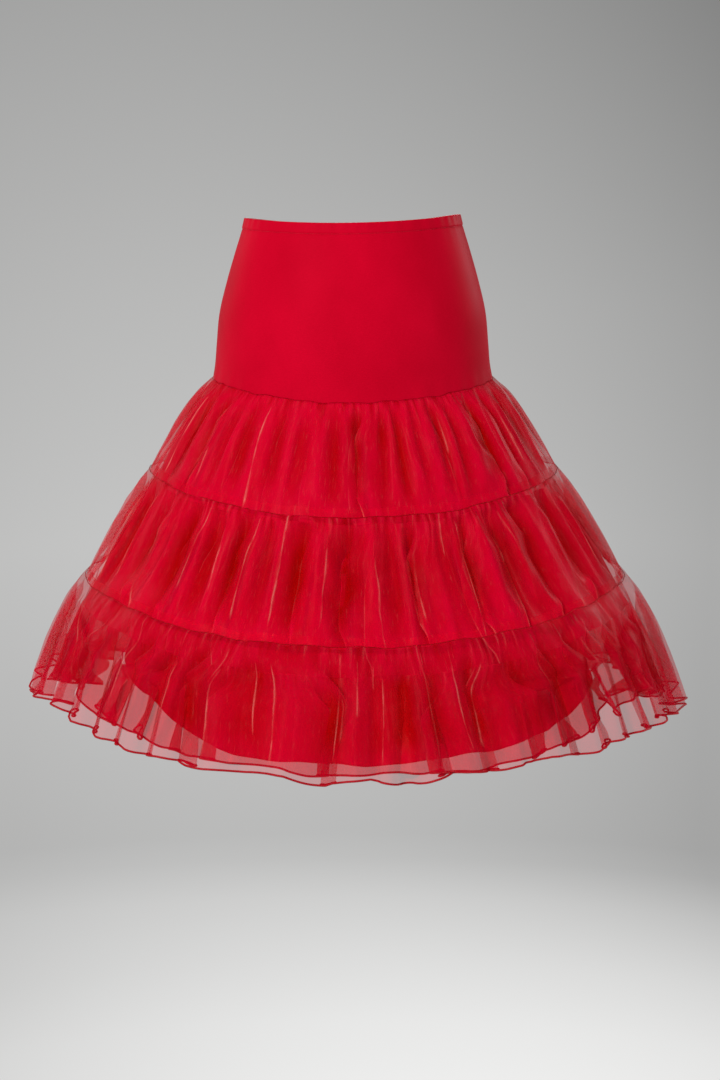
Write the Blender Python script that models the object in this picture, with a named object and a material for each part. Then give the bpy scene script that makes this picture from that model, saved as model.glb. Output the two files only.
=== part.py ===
"""A tiered organza petticoat skirt, worn shape with no wearer.

A close-fitting stretch yoke carries three hanging layers, all sewn to its lower edge: an outer
organza skirt and an inner organza skirt, each of three gathered tiers, and an A-line lining.
Every cut piece has a front and a back, which meet at the side seams.

Metres, +Z up. The origin is the centre of the waist opening at the height of its side seams.
The front faces -Y. Angles run round the skirt from the front centre: 90 degrees is +X.
"""

import math
import random
from collections import namedtuple

import bmesh
import bpy

MM = 0.001

# One level of the skirt, as an oval seen from above. The drops are how much lower the front and
# back centres hang than the side seams, the tilt is how much higher the +X side stands, and the
# lift is how much higher the cloth rides at the four corners, between the sides and the middle.
Level = namedtuple(
    "Level", "side_z front_drop back_drop tilt centre_x half_width front_depth back_depth lift furrow"
)

YOKE_LEVELS = [
    Level(0.000, 0.006, 0.011, 0.0022, 0.000, 0.1275, 0.094, 0.100, 0, 0),
    Level(-0.011, 0.006, 0.011, 0.0022, 0.000, 0.1305, 0.097, 0.103, 0, 0),
    Level(-0.0125, 0.006, 0.011, 0.0022, 0.000, 0.1310, 0.0975, 0.1035, 0, 0),
    Level(-0.038, 0.007, 0.011, 0.0020, 0.000, 0.1390, 0.105, 0.113, 0, 0),
    Level(-0.075, 0.009, 0.010, 0.0015, 0.000, 0.1500, 0.115, 0.126, 0, 0),
    Level(-0.112, 0.011, 0.009, 0.0010, 0.000, 0.1590, 0.122, 0.136, 0, 0),
    Level(-0.150, 0.014, 0.009, 0.0005, 0.000, 0.1630, 0.127, 0.140, 0, 0),
    Level(-0.176, 0.015, 0.010, 0.0000, 0.000, 0.1655, 0.129, 0.1405, 0, 0),
    Level(-0.190, 0.016, 0.011, 0.0000, 0.000, 0.1680, 0.131, 0.142, 0, 0),
]
YOKE_EDGE = YOKE_LEVELS[-1]
CASING_LEVELS = 2  # the first levels hold the elastic, and are thicker

# The outer skirt's seams and hem, out at the crests of its folds.
OUTER_LEVELS = [
    YOKE_EDGE._replace(half_width=0.1690, front_depth=0.132, back_depth=0.143),
    Level(-0.299, 0.027, 0.018, 0.000, 0.001, 0.2475, 0.203, 0.216, 0.000, 5 * MM),
    Level(-0.428, 0.027, 0.018, 0.000, 0.003, 0.3300, 0.278, 0.292, 0.004, 12 * MM),
    Level(-0.577, 0.006, 0.004, -0.006, 0.006, 0.4085, 0.360, 0.370, 0.016, 22 * MM),
]
# The inner skirt hangs clear inside the outer one, and its seams lie lower.
INNER_LEVELS = [
    YOKE_EDGE._replace(half_width=0.1657, front_depth=0.1287, back_depth=0.1397),
    Level(-0.309, 0.026, 0.018, 0.000, 0.001, 0.2415, 0.197, 0.210, 0.000, 5 * MM),
    Level(-0.462, 0.024, 0.016, 0.000, 0.003, 0.3340, 0.286, 0.300, 0.006, 14 * MM),
    Level(-0.563, 0.006, 0.004, -0.006, 0.006, 0.3770, 0.334, 0.344, 0.014, 21 * MM),
]
LINING_LEVELS = [
    YOKE_EDGE._replace(half_width=0.1638, front_depth=0.1268, back_depth=0.1378),
    Level(-0.250, 0.020, 0.016, 0.000, 0.001, 0.1870, 0.151, 0.161, 0, 0),
    Level(-0.370, 0.024, 0.020, 0.000, 0.002, 0.2290, 0.194, 0.204, 0, 0),
    Level(-0.543, 0.032, 0.026, -0.006, 0.005, 0.2920, 0.290, 0.298, 0, 0),
]

YOKE_WALL = 1.6 * MM
CASING_WALL = 2.6 * MM
ORGANZA_WALL = 1.5 * MM  # measured level, which leaves over 1 mm across the slope
LINING_WALL = 1.4 * MM
HEM_ROLL_WALL = 2.6 * MM
SEAM_GAP = 0.3 * MM

# Deep furrows that run down through every organza tier: the angle where one lies, how far it
# spreads to each side, and its depth as a share of the level's furrow size.
Furrow = namedtuple("Furrow", "angle spread depth")
FURROWS = [
    Furrow(-73, 5.5, 0.60),
    Furrow(-52, 4.5, 0.80),
    Furrow(-38, 4.0, 0.70),
    Furrow(-26.5, 3.5, 0.80),
    Furrow(-5.2, 3.5, 0.95),
    Furrow(8.3, 5.0, 1.00),
    Furrow(22, 4.0, 0.75),
    Furrow(39, 4.5, 0.85),
    Furrow(62, 4.5, 0.70),
    Furrow(77, 4.0, 0.75),
    Furrow(104, 4.5, 0.80),
    Furrow(121, 5.5, 0.60),
    Furrow(139, 4.0, 0.90),
    Furrow(158, 5.0, 0.55),
    Furrow(173, 4.0, 0.95),
    Furrow(-170, 5.0, 0.65),
    Furrow(-152, 4.0, 0.90),
    Furrow(-134, 5.5, 0.60),
    Furrow(-117, 4.5, 0.85),
    Furrow(-101, 4.0, 0.55),
]

# One gathered tier: folds in each panel, how deep they are below the gathers, in the middle and
# at the lower edge, how far the tier swells past a straight slope, and its rows as shares.
Tier = namedtuple("Tier", "name folds depth_top depth_middle depth_bottom swell rows seed")
OUTER_TIERS = [
    Tier("upper_tier", 18, 1.4 * MM, 9 * MM, 1.6 * MM, 8 * MM, (0, 0.13, 0.40, 0.75, 1), 3),
    Tier("middle_tier", 22, 1.6 * MM, 11 * MM, 1.8 * MM, 3 * MM, (0, 0.12, 0.38, 0.75, 1), 11),
    Tier("hem_tier", 26, 1.8 * MM, 13 * MM, 19 * MM, 11 * MM, (0, 0.10, 0.34, 0.66, 0.965, 1), 29),
]
INNER_TIERS = [
    Tier("upper_tier", 9, 0.0, 5 * MM, 1.0 * MM, 1 * MM, (0, 0.45, 1), 41),
    Tier("middle_tier", 10, 1.0 * MM, 7 * MM, 1.0 * MM, 1 * MM, (0, 0.45, 1), 47),
    Tier("hem_tier", 11, 1.0 * MM, 9 * MM, 12 * MM, 4 * MM, (0, 0.35, 0.96, 1), 59),
]
FOLD_STEPS = (0.0, 0.62, 1.0, 0.62)  # height across one fold: valley, side, crest, side
FOLD_UNEVENNESS = 0.32
SWAY = math.radians(0.9)
SWELL_EARLY = 0.7  # under 1, a tier swells most above its middle
CORNER_SHARPNESS = 4
CORNER_SCALE = 3.5  # brings the highest corner up to the level's whole lift
PLAIN_COLUMNS = 20  # steps across a yoke or lining panel

PANELS = {"front": (-90, 90), "back": (90, 270)}


def cloth(name, colour, roughness, alpha=1.0):
    material = bpy.data.materials.new(name)
    material.use_nodes = True
    shader = material.node_tree.nodes["Principled BSDF"]
    shader.inputs["Base Color"].default_value = (*colour, 1)
    shader.inputs["Roughness"].default_value = roughness
    shader.inputs["Metallic"].default_value = 0
    shader.inputs["Alpha"].default_value = alpha
    return material


def mix_levels(upper, lower, share):
    return Level(*(a + (b - a) * share for a, b in zip(upper, lower)))


def furrow_at(angle_deg):
    """How far into a furrow this angle lies, from 0 on a lobe to 1 at the deepest."""
    deepest = 0.0
    for furrow in FURROWS:
        away = abs((angle_deg - furrow.angle + 180) % 360 - 180) / furrow.spread
        if away < 2:
            deepest = max(deepest, furrow.depth * math.cos(away * math.pi / 4) ** 2)
    return deepest


def point_at(level, angle_deg, inset):
    """The point of a level at this angle, moved in from its oval by inset."""
    angle = math.radians(angle_deg)
    across, along = math.sin(angle), math.cos(angle)
    depth = level.front_depth if along > 0 else level.back_depth
    drop = level.front_drop if along > 0 else level.back_drop
    normal_x, normal_y = across / level.half_width, -along / depth
    length = math.hypot(normal_x, normal_y)
    corner = CORNER_SCALE * across**CORNER_SHARPNESS * abs(along)
    return (
        level.centre_x + level.half_width * across - inset * normal_x / length,
        -depth * along - inset * normal_y / length,
        level.side_z - drop * along**2 + level.tilt * across + level.lift * corner,
    )


def inner_ring(ring, thickness, centre_x):
    """The ring moved in by the wall's thickness, square to its own waves."""
    moved = []
    for i, (x, y, z) in enumerate(ring):
        before, after = ring[max(i - 1, 0)], ring[min(i + 1, len(ring) - 1)]
        along_x, along_y = after[0] - before[0], after[1] - before[1]
        if i in (0, len(ring) - 1):  # the side seams stay square to the X axis
            along_x, along_y = 0.0, math.copysign(1.0, x - centre_x)
        length = math.hypot(along_x, along_y)
        out_x, out_y = along_y / length, -along_x / length
        if out_x * (x - centre_x) + out_y * y < 0:
            out_x, out_y = -out_x, -out_y
        moved.append((x - thickness * out_x, y - thickness * out_y, z))
    return moved


def parted_at_side_seams(ring, panel):
    """The ring with its two end points drawn back from the side seams by half a seam gap."""
    side = -1 if panel == "front" else 1
    ends = {0, len(ring) - 1}
    return [
        (x, side * SEAM_GAP / 2 if i in ends else y, z)
        for i, (x, y, z) in enumerate(ring)
    ]


def lowered(ring, distance):
    return [(x, y, z - distance) for x, y, z in ring]


def wall(name, outer_rings, thicknesses, centres, panel, material):
    """A closed cloth wall between outer rings, from the top down, and the same rings moved in."""
    inner_rings = [
        inner_ring(ring, thickness, centre)
        for ring, thickness, centre in zip(outer_rings, thicknesses, centres)
    ]
    mesh = bmesh.new()
    outer = [[mesh.verts.new(p) for p in parted_at_side_seams(r, panel)] for r in outer_rings]
    inner = [[mesh.verts.new(p) for p in parted_at_side_seams(r, panel)] for r in inner_rings]
    last_row, last_column = len(outer) - 1, len(outer[0]) - 1
    for row in range(last_row):
        for column in range(last_column):
            for side in (outer, inner):
                mesh.faces.new(
                    (
                        side[row][column],
                        side[row + 1][column],
                        side[row + 1][column + 1],
                        side[row][column + 1],
                    )
                )
        for column in (0, last_column):
            mesh.faces.new(
                (
                    outer[row][column],
                    outer[row + 1][column],
                    inner[row + 1][column],
                    inner[row][column],
                )
            )
    for row in (0, last_row):
        for column in range(last_column):
            mesh.faces.new(
                (
                    outer[row][column],
                    outer[row][column + 1],
                    inner[row][column + 1],
                    inner[row][column],
                )
            )
    bmesh.ops.recalc_face_normals(mesh, faces=mesh.faces)
    data = bpy.data.meshes.new(name)
    mesh.to_mesh(data)
    mesh.free()
    data.materials.append(material)
    data.shade_smooth()
    data.set_sharp_from_angle(angle=math.radians(60))
    piece = bpy.data.objects.new(name, data)
    bpy.context.scene.collection.objects.link(piece)
    return piece


def plain_angles(panel):
    start, end = PANELS[panel]
    return [start + (end - start) * i / PLAIN_COLUMNS for i in range(PLAIN_COLUMNS + 1)]


def yoke(panel, material):
    """One yoke panel, with the folded-over elastic casing along its top."""
    rings, thicknesses = [], []
    for row, level in enumerate(YOKE_LEVELS):
        in_casing = row < CASING_LEVELS
        proud = (CASING_WALL - YOKE_WALL) / 2 if in_casing else 0.0
        rings.append([point_at(level, angle, -proud) for angle in plain_angles(panel)])
        thicknesses.append(CASING_WALL if in_casing else YOKE_WALL)
    centres = [level.centre_x for level in YOKE_LEVELS]
    return wall(f"yoke_{panel}", rings, thicknesses, centres, panel, material)


def lining(panel, material):
    rings = [[point_at(level, a, 0.0) for a in plain_angles(panel)] for level in LINING_LEVELS]
    rings[0] = lowered(rings[0], SEAM_GAP)
    centres = [level.centre_x for level in LINING_LEVELS]
    thicknesses = [LINING_WALL] * len(rings)
    return wall(f"lining_{panel}", rings, thicknesses, centres, panel, material)


def fold_columns(tier, panel):
    """Each column across a panel: its angle, its sway and how far it lies below the fold's crest."""
    start, end = PANELS[panel]
    chance = random.Random(f"{tier.seed} {panel}")
    widths = [1 + FOLD_UNEVENNESS * chance.uniform(-1, 1) for _ in range(tier.folds)]
    degrees_each = (end - start) / sum(widths)
    columns, edge = [], start
    for width in widths:
        strength = chance.uniform(0.65, 1.0)
        sway = chance.uniform(-1, 1)
        for step, height in enumerate(FOLD_STEPS):
            angle = edge + width * degrees_each * step / len(FOLD_STEPS)
            columns.append((angle, sway if step else 0.0, strength * (1 - height)))
        edge += width * degrees_each
    columns.append((end, 0.0, columns[0][2]))
    return columns


def fold_depth(tier, share):
    """How deep the tier's folds are, this far down it."""
    swelling = math.sin(math.pi * min(share / 0.9, 1.0)) ** 0.8
    straight = tier.depth_top + (tier.depth_bottom - tier.depth_top) * share
    middle = tier.depth_middle - (tier.depth_top + tier.depth_bottom) / 2
    return straight + middle * swelling


def tier_rings(tier, upper, lower, panel):
    rings, centres = [], []
    columns = fold_columns(tier, panel)
    for share in tier.rows:
        level = mix_levels(upper, lower, share)
        swell = tier.swell * math.sin(math.pi * share**SWELL_EARLY)
        ring = []
        for angle, sway, below_crest in columns:
            turned = angle + math.degrees(SWAY) * sway * share
            inset = level.furrow * furrow_at(turned) - swell
            ring.append(point_at(level, turned, inset + fold_depth(tier, share) * below_crest))
        rings.append(ring)
        centres.append(level.centre_x)
    return rings, centres


def tier_panel(layer, tier, upper, lower, panel, material):
    """One gathered tier's front or back. The last tier of a skirt ends in a rolled hem."""
    rings, centres = tier_rings(tier, upper, lower, panel)
    rings[0] = lowered(rings[0], SEAM_GAP)
    thicknesses = [ORGANZA_WALL] * len(rings)
    if tier.name == "hem_tier":
        thicknesses[-1] = HEM_ROLL_WALL
    return wall(f"{layer}_{tier.name}_{panel}", rings, thicknesses, centres, panel, material)


def main():
    for old in list(bpy.data.objects):
        bpy.data.objects.remove(old)
    knit = cloth("stretch_knit", (0.64, 0.003, 0.020), 0.45)
    organza = cloth("organza", (0.60, 0.004, 0.018), 0.38, alpha=0.4)
    satin = cloth("lining_satin", (0.52, 0.003, 0.012), 0.5)
    for panel in PANELS:
        yoke(panel, knit)
        lining(panel, satin)
        for layer, tiers, levels in (
            ("outer", OUTER_TIERS, OUTER_LEVELS),
            ("inner", INNER_TIERS, INNER_LEVELS),
        ):
            for tier, upper, lower in zip(tiers, levels, levels[1:]):
                tier_panel(layer, tier, upper, lower, panel, organza)


main()
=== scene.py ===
# Organza petticoat: stretch yoke, three gathered tiers outside and three inside, and a lining.
import math
import bmesh
import bpy
import numpy as np
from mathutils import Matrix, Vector


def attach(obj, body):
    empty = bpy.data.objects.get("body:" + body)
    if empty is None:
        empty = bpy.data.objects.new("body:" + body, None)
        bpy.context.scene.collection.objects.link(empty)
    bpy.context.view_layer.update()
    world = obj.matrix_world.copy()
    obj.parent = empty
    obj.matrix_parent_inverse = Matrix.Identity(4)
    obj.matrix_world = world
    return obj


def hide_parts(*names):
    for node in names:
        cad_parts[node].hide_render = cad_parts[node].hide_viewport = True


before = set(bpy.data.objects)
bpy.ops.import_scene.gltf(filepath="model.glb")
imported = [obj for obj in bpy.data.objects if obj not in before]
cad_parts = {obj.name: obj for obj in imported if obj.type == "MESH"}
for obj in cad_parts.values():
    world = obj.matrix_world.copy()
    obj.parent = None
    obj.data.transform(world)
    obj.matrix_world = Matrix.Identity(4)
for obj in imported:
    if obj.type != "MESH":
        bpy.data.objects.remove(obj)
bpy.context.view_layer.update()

mm = 0.001
fullTurn = 2 * math.pi
panels = (("front", -90, 90), ("back", 90, 270))  # where each runs, in degrees from the front centre
scene = bpy.context.scene
scene.view_settings.view_transform = "Standard"
scene.cycles.transparent_max_bounces = 40  # one look passes through many sheer layers
print("frame loaded")

# ovals of the skirt seen from above: how high, how far the middle hangs lower, how wide and deep,
# and how much higher the cloth rides at the corners between the middle and the sides
ovalColumns = (
    "sideZ", "frontDrop", "backDrop", "tilt", "centreX", "halfWidth", "frontDepth", "backDepth", "lift")
ovals = {
    "yoke": (-0.1900, 0.016, 0.011, 0.000, 0.000, 0.1690, 0.132, 0.143, 0.000),
    "upperSeam": (-0.2990, 0.027, 0.018, 0.000, 0.001, 0.2475, 0.203, 0.216, 0.000),
    "lowerSeam": (-0.4280, 0.027, 0.018, 0.000, 0.003, 0.3300, 0.278, 0.292, 0.004),
    "hem": (-0.5770, 0.006, 0.004, -0.006, 0.006, 0.4085, 0.360, 0.370, 0.016),
    "innerYoke": (-0.1903, 0.016, 0.011, 0.000, 0.000, 0.1655, 0.1285, 0.1395, 0.000),
    "innerUpperSeam": (-0.3090, 0.026, 0.018, 0.000, 0.001, 0.2405, 0.196, 0.209, 0.000),
    "innerLowerSeam": (-0.4620, 0.024, 0.016, 0.000, 0.003, 0.3330, 0.285, 0.299, 0.006),
    "innerHem": (-0.5690, 0.007, 0.004, -0.006, 0.006, 0.3830, 0.344, 0.352, 0.014),
    "liningTop": (-0.1903, 0.016, 0.011, 0.000, 0.000, 0.1632, 0.1262, 0.1372, 0.000),
    "liningHip": (-0.2500, 0.020, 0.016, 0.000, 0.001, 0.1725, 0.1365, 0.1460, 0.000),
    "liningThigh": (-0.3700, 0.024, 0.020, 0.000, 0.002, 0.2285, 0.1935, 0.2035, 0.000),
    "liningHem": (-0.5430, 0.032, 0.026, -0.006, 0.005, 0.2915, 0.2895, 0.2975, 0.000),
}
# the shape of that rise, and the waves by which a seam runs up and down round the skirt
cornerRise = {"height": 5.3, "blur": 0.04, "base": 0.2}
wobble = {"waves": (5, 9, 14, 23, 37), "least": 0.3, "most": 1.0, "total": 2.2}


def ovalNamed(name):
    return dict(zip(ovalColumns, ovals[name]))


def mixedOval(upper, lower, share):
    return {key: upper[key] + (lower[key] - upper[key]) * share for key in ovalColumns}


def onOval(oval, turn, outward, slope):
    # points of an oval at these turns, moved out square to the cloth's slope
    across, along = np.sin(turn), np.cos(turn)
    isFront = along > 0
    depth = np.where(isFront, oval["frontDepth"], oval["backDepth"])
    drop = np.where(isFront, oval["frontDrop"], oval["backDrop"])
    normalX, normalY = across / oval["halfWidth"], -along / depth
    size = np.hypot(normalX, normalY)
    level = outward * np.cos(slope) / size
    corner = cornerRise["height"] * across**4 * (np.sqrt(along**2 + cornerRise["blur"]) - cornerRise["base"])
    x = oval["centreX"] + oval["halfWidth"] * across + level * normalX
    y = -depth * along + level * normalY
    z = oval["sideZ"] - drop * along**2 + oval["tilt"] * across + oval["lift"] * corner
    z = z + outward * np.sin(slope)
    return np.stack(np.broadcast_arrays(x, y, z), axis=-1)


def smoothRise(share):
    share = np.clip(share, 0, 1)
    return share * share * (3 - 2 * share)


def bump(distance, centre, width):
    return np.exp(-(((distance - centre) / width) ** 2))


def lengthAlong(path):
    # how far each point of a row lies along it
    return np.concatenate(([0], np.cumsum(np.linalg.norm(np.diff(path, axis=0), axis=1))))


def softNoise(chance, rows, columns, cellsDown, cellsRound):
    # smooth random values from -1 to 1 that join up round the skirt
    lattice = chance.uniform(-1, 1, (cellsDown + 2, cellsRound))
    down = np.linspace(0, cellsDown, rows)
    around = np.linspace(0, cellsRound, columns)
    row, column = np.floor(down).astype(int), np.floor(around).astype(int)
    mixDown = smoothRise(down - row)[:, None]
    mixAround = smoothRise(around - column)[None, :]
    left, right = column % cellsRound, (column + 1) % cellsRound
    upper = lattice[row][:, left] * (1 - mixAround) + lattice[row][:, right] * mixAround
    lower = lattice[row + 1][:, left] * (1 - mixAround) + lattice[row + 1][:, right] * mixAround
    return upper * (1 - mixDown) + lower * mixDown


def seamWobble(turn, seed, height):
    # a seam or hem that runs a little up and down, the same for both tiers it joins
    chance = np.random.default_rng(seed)
    total = 0 * turn
    for waves in wobble["waves"]:
        size = chance.uniform(wobble["least"], wobble["most"])
        total = total + size * np.sin(waves * turn + chance.uniform(0, fullTurn))
    return height * total / wobble["total"]


def sagAt(table, turn):
    angles, sags = zip(*table)
    return np.interp(np.degrees(turn), angles, sags, right=0) * mm


def meshPiece(name, points, faces, cutPlaces, material, marks=None):
    # a smooth mesh, with its place in the cut cloth in metres as the map
    mesh = bpy.data.meshes.new(name)
    mesh.from_pydata(points, [], faces)
    mesh.polygons.foreach_set("use_smooth", np.ones(len(faces), dtype=bool))
    corners = np.empty(len(mesh.loops), dtype=np.int32)
    mesh.loops.foreach_get("vertex_index", corners)
    mesh.uv_layers.new(name="cut").data.foreach_set("uv", cutPlaces[corners].reshape(-1))
    for mark, values in (marks or {}).items():
        layer = mesh.attributes.new(mark, "FLOAT", "POINT")
        layer.data.foreach_set("value", values.reshape(-1).astype(np.float32))
    mesh.materials.append(material)
    piece = bpy.data.objects.new(name, mesh)
    scene.collection.objects.link(piece)
    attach(piece, "root")
    return piece


def gridPiece(name, points, material, lengths, marks=None):
    # a sheet from rows and columns of points, and how far each lies across and down the cut cloth
    shape = points.shape[:2]
    index = np.arange(shape[0] * shape[1]).reshape(shape)
    faces = np.stack((index[:-1, :-1], index[1:, :-1], index[1:, 1:], index[:-1, 1:]), axis=-1)
    cutPlaces = np.stack([np.broadcast_to(one, shape).reshape(-1) for one in lengths], axis=-1)
    corners, faces = points.reshape(-1, 3).tolist(), faces.reshape(-1, 4).tolist()
    return meshPiece(name, corners, faces, cutPlaces, material, marks)


# materials

def nodeMaterial(name):
    material = bpy.data.materials.new(name)
    material.use_nodes = True
    return material, material.node_tree


def setInputs(tree, node, values):
    # each value is set, or linked where it is another node's output
    for name, value in values.items():
        socket = node.inputs[name]
        if isinstance(value, bpy.types.NodeSocket):
            tree.links.new(value, socket)
        else:
            socket.default_value = (*value, 1) if socket.type == "RGBA" else value


def madeNode(tree, kind, values, operation=None):
    # the outputs of a new node, whose inputs are given by name or number
    node = tree.nodes.new("ShaderNode" + kind)
    if operation:
        node.operation = operation
    setInputs(tree, node, values)
    return node.outputs


def mathOf(tree, operation, *terms):
    return madeNode(tree, "Math", dict(enumerate(terms)), operation)[0]


def cutMap(tree, scale):
    # places in the cut cloth in metres, scaled
    cut = tree.nodes.new("ShaderNodeUVMap")
    cut.uv_map = "cut"
    return madeNode(tree, "Mapping", {"Vector": cut.outputs["UV"], "Scale": scale})["Vector"]


def clothNoise(tree, cells, detail=2.0, roughness=0.5):
    # noise with this many cells per metre across and down the cloth
    places = cutMap(tree, (*cells, 1))
    values = {"Vector": places, "Scale": 1.0, "Detail": detail, "Roughness": roughness}
    return madeNode(tree, "TexNoise", values)["Fac"]


def markOn(tree, mark):
    attribute = tree.nodes.new("ShaderNodeAttribute")
    attribute.attribute_name = mark
    return attribute.outputs["Fac"]


def colourRamp(tree, source, stops):
    ramp = tree.nodes.new("ShaderNodeValToRGB")
    first, last = ramp.color_ramp.elements
    for element, (place, colour) in ((first, stops[0]), (last, stops[-1])):
        element.position, element.color = place, (*colour, 1)
    for place, colour in stops[1:-1]:
        ramp.color_ramp.elements.new(place).color = (*colour, 1)
    tree.links.new(source, ramp.inputs["Fac"])
    return ramp.outputs["Color"]


def bumpFrom(tree, height, strength, distance, below=None):
    values = {"Height": height, "Strength": strength, "Distance": distance}
    if below:
        values["Normal"] = below
    return madeNode(tree, "Bump", values)["Normal"]


def mixedColours(tree, share, first, second):
    mixer = tree.nodes.new("ShaderNodeMix")
    mixer.data_type = "RGBA"
    setInputs(tree, mixer, {"Factor": share, 6: first, 7: second})  # 6 and 7 are its two colours
    return mixer.outputs[2]


def finish(tree, look, colour, normal, opaque=1.0):
    setInputs(tree, tree.nodes["Principled BSDF"], {
        "Base Color": colour, "Normal": normal, "Alpha": opaque, "Roughness": look["roughness"],
        "Specular IOR Level": look["shine"], "Specular Tint": look.get("shineTint", (1, 1, 1)),
    })


organzaLook = {
    # each texture: its cells per metre, detail and roughness, and the bump's strength and height
    "crush": ((70, 26), 4.0, 0.62, 0.18, 1.0 * mm),
    "scratch": ((520, 60), 2.0, 0.6, 0.30, 0.25 * mm),
    "weave": ((900, 1100), 1.0, 0.5, 0.30, 0.12 * mm),
    "tones": (0.32, 0.66), "fleckStops": (0.60, 0.78), "flecks": 0.13,
    # the glint is the colour of the painted highlights along creases
    "brokenStops": (0.34, 0.58), "brokenLeast": 0.15, "glint": (1.0, 0.27, 0.22),
    "roughness": 0.34, "shine": 0.03, "shineTint": (1.0, 0.30, 0.26),
}
knitLook = {
    "grain": (260, 900), "grainShare": 0.45, "cloud": (14, 9), "cloudDetail": 3.0,
    "tones": ((0.45, (0.46, 0.0008, 0.0130)), (0.95, (0.57, 0.0012, 0.0190))),
    "bump": (0.35, 0.25 * mm), "roughness": 0.46, "shine": 0.025, "shineTint": (1.0, 0.12, 0.22),
}
satinLook = {
    "grain": (700, 160), "tones": ((0.3, (0.80, 0.0008, 0.0200)), (0.7, (0.94, 0.0010, 0.0260))),
    "bump": (0.3, 0.2 * mm), "roughness": 0.5, "shine": 0.04,
}
threadLook = {
    "wraps": 120, "unevenness": 1.5, "slant": 0.25, "darkShare": 0.75, "tones": (0.2, 0.8),
    "bump": (0.5, 0.3 * mm), "roughness": 0.5, "shine": 0.15,
}


def organzaMaterial(name, opaque, bright, dark, shadeColour):
    look = organzaLook
    material, tree = nodeMaterial(name)
    # faint scratches and crushes in the crisp cloth, mostly up and down
    textures = {one: clothNoise(tree, *look[one][:3]) for one in ("crush", "scratch", "weave")}
    colour = colourRamp(tree, textures["crush"], tuple(zip(look["tones"], (dark, bright))))
    # painted shade: the valley mark turns the red toward the shade colour deep in the folds
    colour = mixedColours(tree, markOn(tree, "valley"), colour, shadeColour)
    fleckStops = tuple(zip(look["fleckStops"], ((0, 0, 0), (1, 1, 1))))
    flecks = mathOf(tree, "MULTIPLY", colourRamp(tree, textures["scratch"], fleckStops), look["flecks"])
    # the painted highlights along creases break up where the scratches cross them
    brokenStops = tuple(zip(look["brokenStops"], ((look["brokenLeast"],) * 3, (1, 1, 1))))
    broken = colourRamp(tree, textures["scratch"], brokenStops)
    # painted highlights: the glint colour laid along creases, and faintly in random flecks
    glow = mathOf(tree, "MULTIPLY_ADD", markOn(tree, "paintedHighlight"), broken, flecks)
    normal = None
    for one, texture in textures.items():
        normal = bumpFrom(tree, texture, *look[one][3:], normal)
    finish(tree, look, mixedColours(tree, glow, colour, look["glint"]), normal, opaque)
    return material


def plainMaterial(name, look):
    material, tree = nodeMaterial(name)
    grain = tone = clothNoise(tree, look["grain"])
    if "cloud" in look:
        cloud = clothNoise(tree, look["cloud"], look["cloudDetail"])
        tone = mathOf(tree, "MULTIPLY_ADD", grain, look["grainShare"], cloud)
    finish(tree, look, colourRamp(tree, tone, look["tones"]), bumpFrom(tree, grain, *look["bump"]))
    return material


def threadMaterial(name, colour, opaque):
    look = threadLook
    material, tree = nodeMaterial(name)
    values = {"Scale": look["wraps"], "Distortion": look["unevenness"]}
    wraps = madeNode(tree, "TexWave", {"Vector": cutMap(tree, (1, look["slant"], 1)), **values})["Fac"]
    dark = tuple(part * look["darkShare"] for part in colour)
    shade = colourRamp(tree, wraps, tuple(zip(look["tones"], (dark, colour))))
    finish(tree, look, shade, bumpFrom(tree, wraps, *look["bump"]), opaque)
    return material


# each organza: how opaque it is, its light and dark red, and the red of the painted shade deep in its folds
shadeRed = (0.52, 0.0005, 0.0012)
outerShadeRed = (0.47, 0.0004, 0.0010)
upperOrganza = organzaMaterial(
    "organza upper tier", 0.52, (0.82, 0.0010, 0.0350), (0.75, 0.0008, 0.0240), outerShadeRed)
outerOrganza = organzaMaterial(
    "organza outer", 0.42, (0.89, 0.0010, 0.0400), (0.80, 0.0008, 0.0250), outerShadeRed)
# a darker copy of the outer organza, painted shade for the deep hem tier
hemOrganza = organzaMaterial(
    "organza hem tier", 0.37, (0.73, 0.0010, 0.0300), (0.60, 0.0008, 0.0160), outerShadeRed)
innerOrganza = organzaMaterial(
    "organza inner", 0.90, (0.69, 0.0008, 0.0240), (0.56, 0.0006, 0.0130), shadeRed)
# a lighter copy of the inner organza, painted light that evens out the shade on the lining behind
innerHemOrganza = organzaMaterial(
    "organza inner hem tier", 0.65, (0.76, 0.0010, 0.0280), (0.63, 0.0008, 0.0150), shadeRed)
seamOrganza = organzaMaterial(
    "organza seam layers", 0.50, (0.76, 0.0008, 0.0090), (0.60, 0.0006, 0.0040), shadeRed)
knit = plainMaterial("stretch satin knit", knitLook)
satin = plainMaterial("lining satin", satinLook)
hemThread = threadMaterial("rolled hem", (0.50, 0.003, 0.012), 0.95)
stitchThread = threadMaterial("stitching", (0.62, 0.006, 0.026), 1.0)
# darker than the cloth: partly stitching, partly painted shade along each seam
seamThreadShade = threadMaterial("seam thread", (0.42, 0.001, 0.004), 0.8)
print("materials made")
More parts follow.
